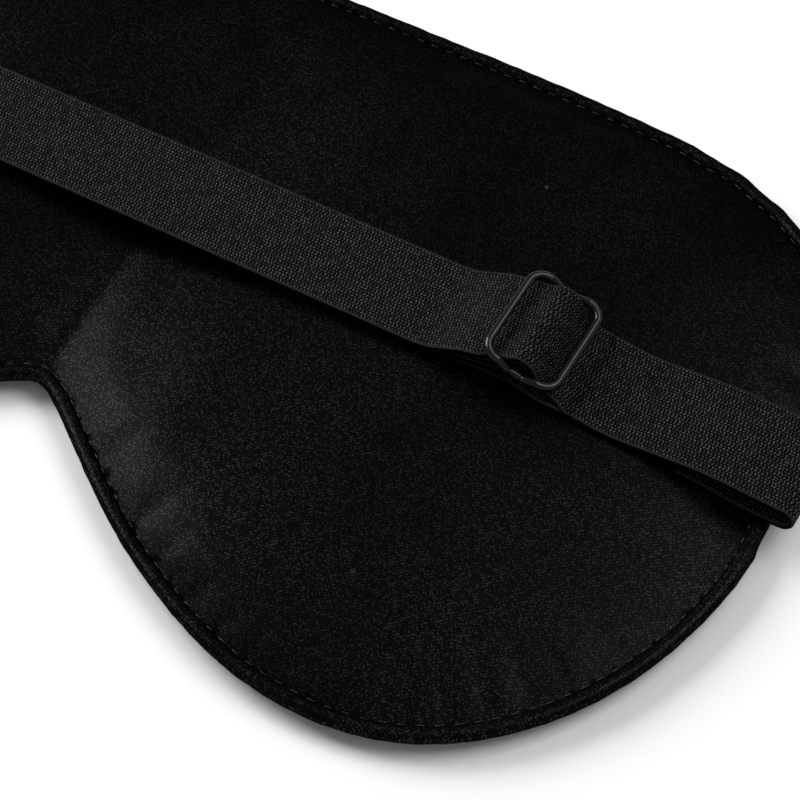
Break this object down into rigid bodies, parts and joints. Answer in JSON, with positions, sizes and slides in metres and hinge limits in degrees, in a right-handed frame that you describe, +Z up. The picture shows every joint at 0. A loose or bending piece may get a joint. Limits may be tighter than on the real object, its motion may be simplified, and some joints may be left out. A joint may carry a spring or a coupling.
{
  "type": "sleep eye mask",
  "caption": "Contoured sleep eye mask of black satin with padded body, piped edge and an adjustable elastic strap with a wire slider.",
  "frame": {"origin": "middle of the mask's bounding box, on its rest face", "axes": "+X along the mask towards the end where the strap is sewn down, +Y towards the forehead edge, +Z up out of the face side"},
  "size_m": [0.199, 0.1082, 0.0153],
  "materials": {
    "satin": "satin",
    "piping_satin": "satin",
    "elastic": "matte",
    "coated_wire": "satin",
    "thread": "matte",
    "wadding": "matte",
    "lining": "matte"
  },
  "bodies": {
    "mask": {"outer_panel": "satin", "inner_panel": "satin", "padding": "wadding", "blackout_lining": "lining", "piping_cord": "wadding", "piping_cover": "piping_satin", "seam_stitches": "thread", "strap_right_end": "elastic", "strap_right_run": "elastic", "strap_left_turn": "elastic", "ring_tab": "elastic", "right_end_bartack": "thread", "ring_tab_bartack": "thread"},
    "strap": {"strap_main_run": "elastic", "strap_return_run": "elastic"},
    "slider": {"slider_frame": "coated_wire", "slider_centre_bar": "coated_wire", "strap_slider_loop": "elastic", "strap_sewn_end": "elastic", "sewn_end_bartack": "thread"},
    "ring": {"strap_ring": "coated_wire"}
  },
  "joints": [
    {"name": "strap_lift", "type": "slide", "parent": "mask", "child": "strap", "axis": [0, 0, 1], "range_m": [0, 0.04]},
    {"name": "slider_slide", "type": "slide", "parent": "strap", "child": "slider", "axis": [1, 0, 0], "range_m": [-0.095, 0], "deforming": ["strap_return_run"]},
    {"name": "ring_pivot", "type": "hinge", "parent": "mask", "child": "ring", "pos_m": [-0.0897, 0.0066, 0.0085], "axis": [0, 1, 0], "range_deg": [-6, 6]}
  ]
}
